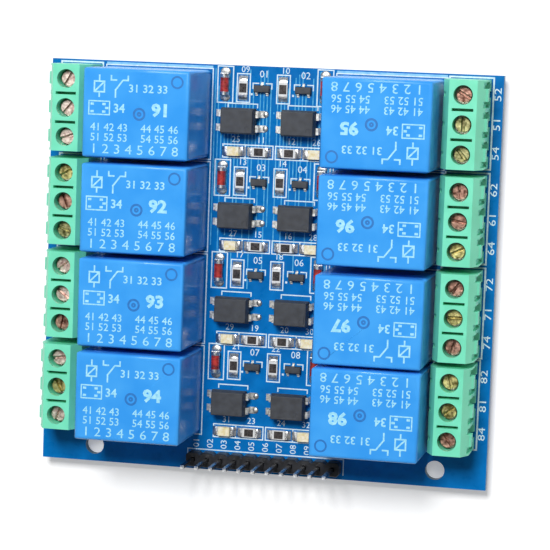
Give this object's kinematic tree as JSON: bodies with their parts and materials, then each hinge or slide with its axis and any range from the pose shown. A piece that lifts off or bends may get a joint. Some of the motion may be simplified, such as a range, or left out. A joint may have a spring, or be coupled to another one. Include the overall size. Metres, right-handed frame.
{
  "type": "relay module board",
  "caption": "Flat control board with sealed relays in two columns, screw terminal blocks along both sides, optocoupler driver channels between them and a pin header along the lower edge.",
  "frame": {"origin": "under the middle of the board, at the level of the lowest pin ends on which the board lies", "axes": "+Z out of the component side, +X along the header's pins towards the right-hand terminal blocks, +Y away from the header"},
  "size_m": [0.0812, 0.0726, 0.0191],
  "materials": {
    "board_mask": "gloss",
    "relay_case": "gloss",
    "relay_base": "matte",
    "relay_works": "satin",
    "terminal_plastic": "satin",
    "screw_metal": "satin",
    "clamp_metal": "satin",
    "header_plastic": "satin",
    "header_metal": "satin",
    "moulded_black": "matte",
    "tinned_metal": "satin",
    "red_glass": "gloss",
    "resistor_black": "matte",
    "lamp_resin": "satin",
    "solder": "satin"
  },
  "bodies": {
    "root": {"circuit_board": "board_mask", "relay_case_1": "relay_case", "relay_case_2": "relay_case", "relay_case_3": "relay_case", "relay_case_4": "relay_case", "relay_case_5": "relay_case", "relay_case_6": "relay_case", "relay_case_7": "relay_case", "relay_case_8": "relay_case", "relay_base_1": "relay_base", "relay_base_2": "relay_base", "relay_base_3": "relay_base", "relay_base_4": "relay_base", "relay_base_5": "relay_base", "relay_base_6": "relay_base", "relay_base_7": "relay_base", "relay_base_8": "relay_base", "relay_works_1": "relay_works", "relay_works_2": "relay_works", "relay_works_3": "relay_works", "relay_works_4": "relay_works", "relay_works_5": "relay_works", "relay_works_6": "relay_works", "relay_works_7": "relay_works", "relay_works_8": "relay_works", "terminal_housing_1": "terminal_plastic", "terminal_housing_2": "terminal_plastic", "terminal_housing_3": "terminal_plastic", "terminal_housing_4": "terminal_plastic", "terminal_housing_5": "terminal_plastic", "terminal_housing_6": "terminal_plastic", "terminal_housing_7": "terminal_plastic", "terminal_housing_8": "terminal_plastic", "terminal_screws_1": "screw_metal", "terminal_screws_2": "screw_metal", "terminal_screws_3": "screw_metal", "terminal_screws_4": "screw_metal", "terminal_screws_5": "screw_metal", "terminal_screws_6": "screw_metal", "terminal_screws_7": "screw_metal", "terminal_screws_8": "screw_metal", "terminal_clamps_1": "clamp_metal", "terminal_clamps_2": "clamp_metal", "terminal_clamps_3": "clamp_metal", "terminal_clamps_4": "clamp_metal", "terminal_clamps_5": "clamp_metal", "terminal_clamps_6": "clamp_metal", "terminal_clamps_7": "clamp_metal", "terminal_clamps_8": "clamp_metal", "header_strip": "header_plastic", "header_pins": "header_metal", "optocouplers": "moulded_black", "optocoupler_leads": "tinned_metal", "transistors": "moulded_black", "transistor_leads": "tinned_metal", "diode_glass": "red_glass", "resistors": "resistor_black", "lamps": "lamp_resin", "chip_ends": "tinned_metal", "solder_joints": "solder"}
  },
  "joints": []
}
